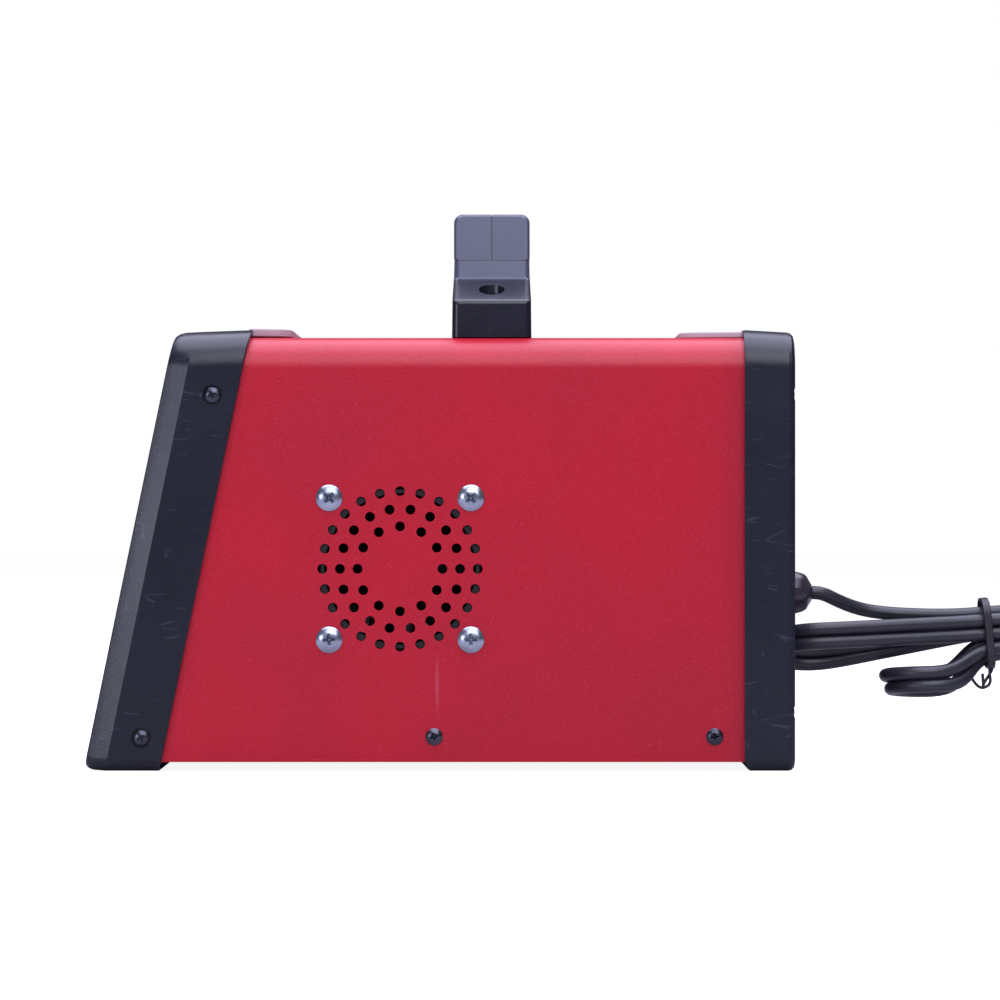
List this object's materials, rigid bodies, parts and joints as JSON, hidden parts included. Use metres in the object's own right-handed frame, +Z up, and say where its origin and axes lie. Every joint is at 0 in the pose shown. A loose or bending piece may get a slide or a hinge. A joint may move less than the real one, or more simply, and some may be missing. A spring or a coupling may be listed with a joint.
{
  "type": "stick welding inverter",
  "caption": "Portable stick welding inverter with a bridge handle, a side fan, two twist-lock output sockets, a current knob and a mains cord tied in a hank.",
  "frame": {"origin": "on the floor, midway between the two end frames", "axes": "+X towards the rear, +Y towards the vented side, -Y towards the fan side, +Z up"},
  "size_m": [0.6726, 0.1752, 0.284],
  "materials": {
    "red_paint": "fine satin powder coat",
    "black_abs": "moulded, fine spark texture",
    "grip_plastic": "moulded, satin",
    "black_steel": "black powder coat",
    "black_screw": "black oxide",
    "zinc_steel": "bright zinc plate",
    "brass": "turned",
    "copper": "bare and enamelled copper",
    "aluminium": "extruded",
    "circuit_board": "solder-masked glass-fibre laminate",
    "ferrite": "sintered, dull",
    "capacitor_sleeve": "shrunk vinyl sleeve",
    "green_lens": "clear tinted moulding",
    "amber_lens": "clear tinted moulding",
    "cord_pvc": "satin vinyl sheath",
    "plug_pin_metal": "nickel plate"
  },
  "bodies": {
    "chassis": {"cover": "red_paint", "front_panel": "black_steel", "rear_panel": "black_steel", "base_tray": "zinc_steel", "front_bezel": "black_abs", "rear_bezel": "black_abs", "front_bezel_screw_left_1": "black_screw", "front_bezel_screw_right_1": "black_screw", "front_bezel_screw_left_2": "black_screw", "front_bezel_screw_right_2": "black_screw", "cover_screw_left_1": "black_screw", "cover_screw_right_1": "black_screw", "cover_screw_left_2": "black_screw", "cover_screw_right_2": "black_screw", "fan_screw_1": "zinc_steel", "fan_screw_2": "zinc_steel", "fan_screw_3": "zinc_steel", "fan_screw_4": "zinc_steel", "rear_bezel_screw_1": "black_screw", "rear_bezel_screw_2": "black_screw", "rear_bezel_screw_3": "black_screw", "rear_bezel_screw_4": "black_screw", "handle_bridge": "black_abs", "handle_grip_front": "grip_plastic", "handle_grip_rear": "grip_plastic", "handle_screw_left": "black_screw", "handle_screw_right": "black_screw", "potentiometer": "aluminium", "output_socket_negative": "brass", "socket_collar_negative": "grip_plastic", "output_socket_positive": "brass", "socket_collar_positive": "grip_plastic", "power_led": "green_lens", "overheat_led": "amber_lens", "power_switch_housing": "black_abs", "fan_frame": "black_abs", "power_board": "circuit_board", "control_board": "circuit_board", "heatsink_input": "aluminium", "heatsink_output": "aluminium", "transformer_core": "ferrite", "transformer_winding": "copper", "output_choke": "copper", "bus_capacitor_1": "capacitor_sleeve", "bus_capacitor_2": "capacitor_sleeve", "rectifier_bridge": "ferrite", "busbar_negative": "copper", "busbar_positive": "copper", "strain_relief": "grip_plastic", "cord_tail": "cord_pvc", "cord_hank": "cord_pvc", "cord_tie": "cord_pvc", "cord_end": "cord_pvc", "power_plug": "cord_pvc", "plug_pin_1": "plug_pin_metal", "plug_pin_2": "plug_pin_metal"},
    "impeller": {"fan_impeller": "grip_plastic"},
    "knob": {"current_knob": "grip_plastic", "potentiometer_shaft": "aluminium"},
    "rocker": {"power_switch_rocker": "grip_plastic"}
  },
  "joints": [
    {"name": "fan_spin", "type": "hinge", "parent": "chassis", "child": "impeller", "pos_m": [-0.0197, -0.07, 0.102], "axis": [0, -1, 0], "continuous": true},
    {"name": "knob_turn", "type": "hinge", "parent": "chassis", "child": "knob", "pos_m": [-0.13138, 0, 0.14884], "axis": [-0.9792, 0, 0.2028], "range_deg": [-270, 0]},
    {"name": "switch_rock", "type": "hinge", "parent": "chassis", "child": "rocker", "pos_m": [0.1682, 0.036, 0.15], "axis": [0, 1, 0], "range_deg": [-24, 0]}
  ]
}
